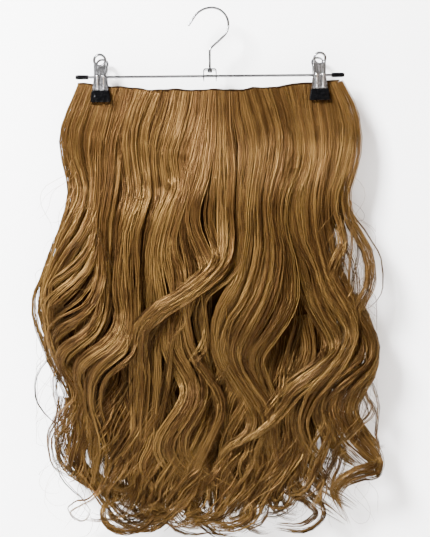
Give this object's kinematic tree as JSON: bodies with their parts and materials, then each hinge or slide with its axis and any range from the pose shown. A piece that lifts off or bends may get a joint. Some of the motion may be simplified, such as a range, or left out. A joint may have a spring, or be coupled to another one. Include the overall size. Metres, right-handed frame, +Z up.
{
  "type": "clip-in hair extension on a clip hanger",
  "caption": "Long wavy honey-blonde hair sewn to a weft with snap clips, gripped by the two rubber-tipped clips of a chromed wire-hook hanger.",
  "frame": {"origin": "inner top of the hook's round, where the hanger hangs on a rail or peg", "axes": "+Z up along the hook's stem, +X along the bar to the right as seen from the side that shows, +Y to the back"},
  "size_m": [0.3916, 0.0503, 0.6063],
  "materials": {
    "chrome": "polished nickel-chrome plate",
    "spring_steel": "drawn wire, slightly dull",
    "black_rubber": "satin moulded rubber",
    "hair_fibre": "glossy honey-blonde fibre, darker in the hollows",
    "weft_thread": "dark brown sewn thread",
    "snap_clip_metal": "brown enamel"
  },
  "bodies": {
    "root": {"hanger_hook": "chrome", "hook_bracket": "chrome", "hanger_bar": "chrome", "bar_cap_left": "black_rubber", "bar_cap_right": "black_rubber", "clip_left_front_jaw": "chrome", "clip_left_back_jaw": "chrome", "clip_left_front_pad": "black_rubber", "clip_left_back_pad": "black_rubber", "clip_left_spring": "spring_steel", "clip_right_front_jaw": "chrome", "clip_right_back_jaw": "chrome", "clip_right_front_pad": "black_rubber", "clip_right_back_pad": "black_rubber", "clip_right_spring": "spring_steel", "weft_band": "weft_thread", "hair": "hair_fibre", "snap_clip_1": "snap_clip_metal", "snap_clip_2": "snap_clip_metal", "snap_clip_3": "snap_clip_metal", "snap_clip_4": "snap_clip_metal"}
  },
  "joints": []
}
